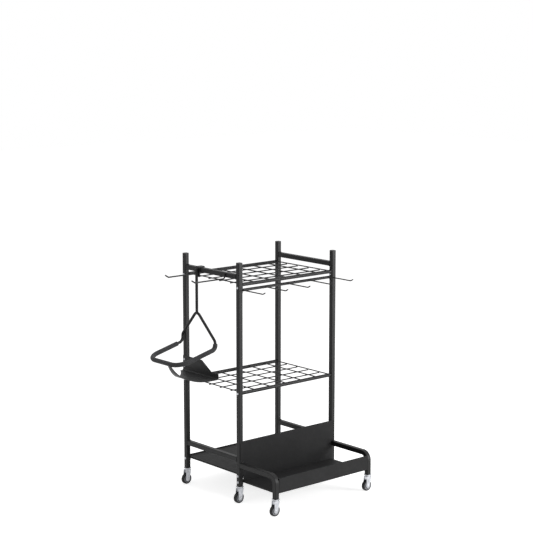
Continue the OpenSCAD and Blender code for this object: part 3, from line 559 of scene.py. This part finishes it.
def make_caster(place):
    """Detailed tyre, wheel centre, axle and fork ribs of one caster."""
    low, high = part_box("tyre_" + place)
    centre = (low + high) / 2
    radius = (high.z - low.z) / 2
    half = (high.y - low.y) / 2
    turn = axis_frame(centre, (0, 1, 0))
    mesh = bmesh.new()
    lathe(mesh, tyre_rings(radius, half), turn, TYRE_STEPS)
    add_piece("tread_" + place, mesh, "wheel_" + place, "tyre", ["tyre_" + place])

    hub_low, hub_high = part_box("hub_" + place)
    boss_half = (hub_high.y - hub_low.y) / 2
    rim = (hub_high.z - hub_low.z) / 2
    mesh = bmesh.new()
    lathe(mesh, hub_rings(rim, half, boss_half), turn, HUB_STEPS)
    add_ribs(mesh, turn, BOSS_R - RIB_HALF, rim - RIM_T + RIM_LIP, boss_half)
    add_piece("wheel_centre_" + place, mesh, "wheel_" + place, "wheel_centre", ["hub_" + place])

    axle_low, axle_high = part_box("axle_" + place)
    reach = (axle_high.y - axle_low.y) / 2
    head = reach - EYE_HEAD_H
    end = [(0, reach - RIVET_DISH), (AXLE_BORE * DISH_SHARES[0], reach - RIVET_DISH),
           (AXLE_BORE * DISH_SHARES[1], reach)]
    end += reversed(dome(AXLE_BORE, EYE_HEAD_R, reach, head))
    end += [(AXLE_BORE - SOCKET_CHAMFER / 2, head)]
    mesh = bmesh.new()
    lathe(mesh, end + [(r, -x) for r, x in reversed(end)], turn)
    add_piece("axle_rivet_" + place, mesh, "caster_" + place, "zinc", ["axle_" + place])

    fork_low, fork_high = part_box("fork_" + place)
    mesh = bmesh.new()
    top = Vector(((fork_low.x + fork_high.x) / 2, 0, fork_high.z - PRESSED_RIB_HIGH * 2))
    for side, face in ((-1, fork_low.y), (1, fork_high.y)):
        foot = Vector((centre.x, face, centre.z + PRESSED_RIB_LOW))
        lean = (top.x - centre.x) * PRESSED_RIB_LEAN_SHARE
        head = Vector((centre.x + lean, face, top.z - PRESSED_RIB_HIGH))
        add_pressed_rib(mesh, foot, head, Vector((0, side, 0)), PRESSED_RIB_HALF, PRESSED_RIB_RISE)
    add_piece("fork_ribs_" + place, mesh, "caster_" + place, "zinc")


for caster in PLACES:
    make_caster(caster)


# Welds

BEAD_R = 1.5 * MM
BEAD_STEP = 1.3 * MM
BEAD_SIDES = 8
BEAD_DIP_SHARE = 0.78
BEAD_SPREAD_SHARES = (0.92, 1.08)
LEAST_ROWS = 8
SHORT = 0.1
SPOT_R = 2.0 * MM
SPOT_RISE_SHARE = 0.45
SPOT_RINGS = 4
SPOT_SIDES = 10
WELD_SEED = 7


def bead(mesh, path, radius, dice):
    """A rippled weld bead along a closed path of points."""
    lengths = [(b - a).length for a, b in zip(path, path[1:] + path[:1])]
    total = sum(lengths)
    count = max(LEAST_ROWS, int(total / BEAD_STEP) * 2)
    rows = []
    for k in range(count):
        at = total * k / count
        i = 0
        while at > lengths[i]:
            at -= lengths[i]
            i += 1
        a, b = path[i], path[(i + 1) % len(path)]
        point = a.lerp(b, at / lengths[i])
        along = (b - a).normalized()
        side = along.cross(Vector((0, 1, 0)))
        side = side.normalized() if side.length > SHORT else Vector((1, 0, 0))
        up = along.cross(side)
        r = radius * (1 if k % 2 else BEAD_DIP_SHARE) * dice.uniform(*BEAD_SPREAD_SHARES)
        rows.append([mesh.verts.new(point + (side * math.cos(t) + up * math.sin(t)) * r)
                     for t in [2 * math.pi * s / BEAD_SIDES for s in range(BEAD_SIDES)]])
    for k in range(count):
        first, second = rows[k], rows[(k + 1) % count]
        for s in range(BEAD_SIDES):
            mesh.faces.new([first[s], first[(s + 1) % BEAD_SIDES],
                            second[(s + 1) % BEAD_SIDES], second[s]])


def spot(mesh, place, radius, direction, dice):
    """A small flattened blob of weld metal."""
    turn = axis_frame(place, direction) @ Matrix.Rotation(dice.uniform(0, math.pi), 4, "X")
    angles = [math.pi / 2 * k / SPOT_RINGS for k in range(SPOT_RINGS + 1)]
    rings = [(radius * math.sin(a), radius * SPOT_RISE_SHARE * math.cos(a)) for a in angles]
    lathe(mesh, rings + [(0, 0)], turn, SPOT_SIDES)


def make_welds():
    """Beads round the side bars' ends, and spots where the wires cross."""
    dice = random.Random(WELD_SEED)
    mesh = bmesh.new()
    for node in [n for n in NODES if n.startswith("side_bar_")]:
        low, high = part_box(node)
        for y in (low.y, high.y):
            inward = BEAD_R / 2 if y == low.y else -BEAD_R / 2
            corners = [Vector((x, y + inward, z)) for x, z in
                       ((low.x, low.z), (high.x, low.z), (high.x, high.z), (low.x, high.z))]
            bead(mesh, corners, BEAD_R, dice)
    add_piece("weld_beads", mesh, "rack", "paint")
    mesh = bmesh.new()
    for level in ("top", "mid"):
        long_boxes = [(low_of(s), high_of(s)) for s in solids(level + "_long_wires")]
        cross_boxes = [(low_of(s), high_of(s)) for s in solids(level + "_cross_wires")]
        for low, high in long_boxes:
            y = (low.y + high.y) / 2
            for cross_low, cross_high in cross_boxes:
                x = (cross_low.x + cross_high.x) / 2
                z = (low.z + high.z + cross_low.z + cross_high.z) / 4
                if low.x < x < high.x and cross_low.y < y < cross_high.y:
                    for side in (-1, 1):
                        place = Vector((x + side * SPOT_R / 2, y, z))
                        spot(mesh, place, SPOT_R, (side, 0, 0), dice)
    add_piece("wire_welds", mesh, "rack", "paint")


make_welds()


# Edge softening on the sheet pieces

EDGE_WIDTH = 0.35 * MM
EDGE_ANGLE = math.radians(50)
SOFT_NODES = ["front_pan", "rear_tray", "divider_plate", "post_caps", "holder_cradle",
              "caster_stems"] + ["fork_" + p for p in PLACES]


def soften(obj, width):
    """Small rounded edges, so that sheet edges catch light as pressed and coated steel does."""
    weld = obj.modifiers.new("weld", "WELD")
    weld.merge_threshold = SAME_POINT
    bevel = obj.modifiers.new("bevel", "BEVEL")
    bevel.width = width
    bevel.segments = 2
    bevel.limit_method = "ANGLE"
    bevel.angle_limit = EDGE_ANGLE
    bevel.harden_normals = True


for node in SOFT_NODES:
    soften(NODES[node], EDGE_WIDTH)


# Floor and light

AIM = (CAD_LOW + CAD_HIGH) / 2
WHITE = (1, 1, 1, 1)
FLOOR_SIZE = 30.0
FLOOR_TONE = (0.80, 0.80, 0.80, 1)
FLOOR_ROUGH = 0.9
FLOOR_LIFT = 0.75
WORLD_LEVEL = 0.35
# Each lamp's name, place, size and power
LAMPS = [("key", (2.5, -3.3, 1.3), 1.6, 130),
         ("side", (-3.4, -0.6, 2.2), 1.6, 14),
         ("top", (0.3, -0.4, 3.4), 2.0, 34)]


def white_to_camera(tree, shader_out, seen_out, target):
    """Uses one shader for the light on the object, and the other where it is seen or mirrored."""
    path = tree.nodes.new("ShaderNodeLightPath")
    factor = path.outputs["Is Camera Ray"]
    for ray in ("Is Glossy Ray", "Is Transmission Ray"):
        either = tree.nodes.new("ShaderNodeMath")
        either.operation = "MAXIMUM"
        tree.links.new(factor, either.inputs[0])
        tree.links.new(path.outputs[ray], either.inputs[1])
        factor = either.outputs["Value"]
    mix = tree.nodes.new("ShaderNodeMixShader")
    tree.links.new(factor, mix.inputs["Fac"])
    tree.links.new(shader_out, mix.inputs[1])
    tree.links.new(seen_out, mix.inputs[2])
    tree.links.new(mix.outputs["Shader"], target)


def make_floor():
    """A pale floor that the camera sees as white, with the object's shadow kept."""
    bpy.ops.mesh.primitive_plane_add(size=FLOOR_SIZE)
    floor = bpy.context.object
    floor.name = "floor"
    material, tree, shader = new_material("floor_white")
    shader.inputs["Base Color"].default_value = FLOOR_TONE
    shader.inputs["Roughness"].default_value = FLOOR_ROUGH
    shader.inputs["Specular IOR Level"].default_value = 0.0
    lift = tree.nodes.new("ShaderNodeEmission")
    lift.inputs["Strength"].default_value = FLOOR_LIFT
    both = tree.nodes.new("ShaderNodeAddShader")
    tree.links.new(shader.outputs["BSDF"], both.inputs[0])
    tree.links.new(lift.outputs["Emission"], both.inputs[1])
    white_to_camera(tree, shader.outputs["BSDF"], both.outputs["Shader"],
                    tree.nodes["Material Output"].inputs["Surface"])
    floor.data.materials.append(material)


def make_world():
    """An even surround at a low level, and plain white where the camera sees it."""
    world = bpy.data.worlds.new("studio")
    world.use_nodes = True
    tree = world.node_tree
    background = tree.nodes["Background"]
    background.inputs["Color"].default_value = WHITE
    background.inputs["Strength"].default_value = WORLD_LEVEL
    seen = tree.nodes.new("ShaderNodeBackground")
    seen.inputs["Color"].default_value = WHITE
    seen.inputs["Strength"].default_value = 1.0
    white_to_camera(tree, background.outputs["Background"], seen.outputs["Background"],
                    tree.nodes["World Output"].inputs["Surface"])
    bpy.context.scene.world = world


def area_light(name, place, size, power):
    """A soft square lamp aimed at the middle of the object."""
    data = bpy.data.lights.new(name, "AREA")
    data.size = size
    data.energy = power
    lamp = bpy.data.objects.new(name, data)
    lamp.location = place
    lamp.rotation_euler = (AIM - Vector(place)).to_track_quat("-Z", "Y").to_euler()
    bpy.context.scene.collection.objects.link(lamp)


make_floor()
make_world()
for lamp_name, lamp_place, lamp_size, lamp_power in LAMPS:
    area_light(lamp_name, lamp_place, lamp_size, lamp_power)
bpy.context.scene.view_settings.view_transform = "Standard"
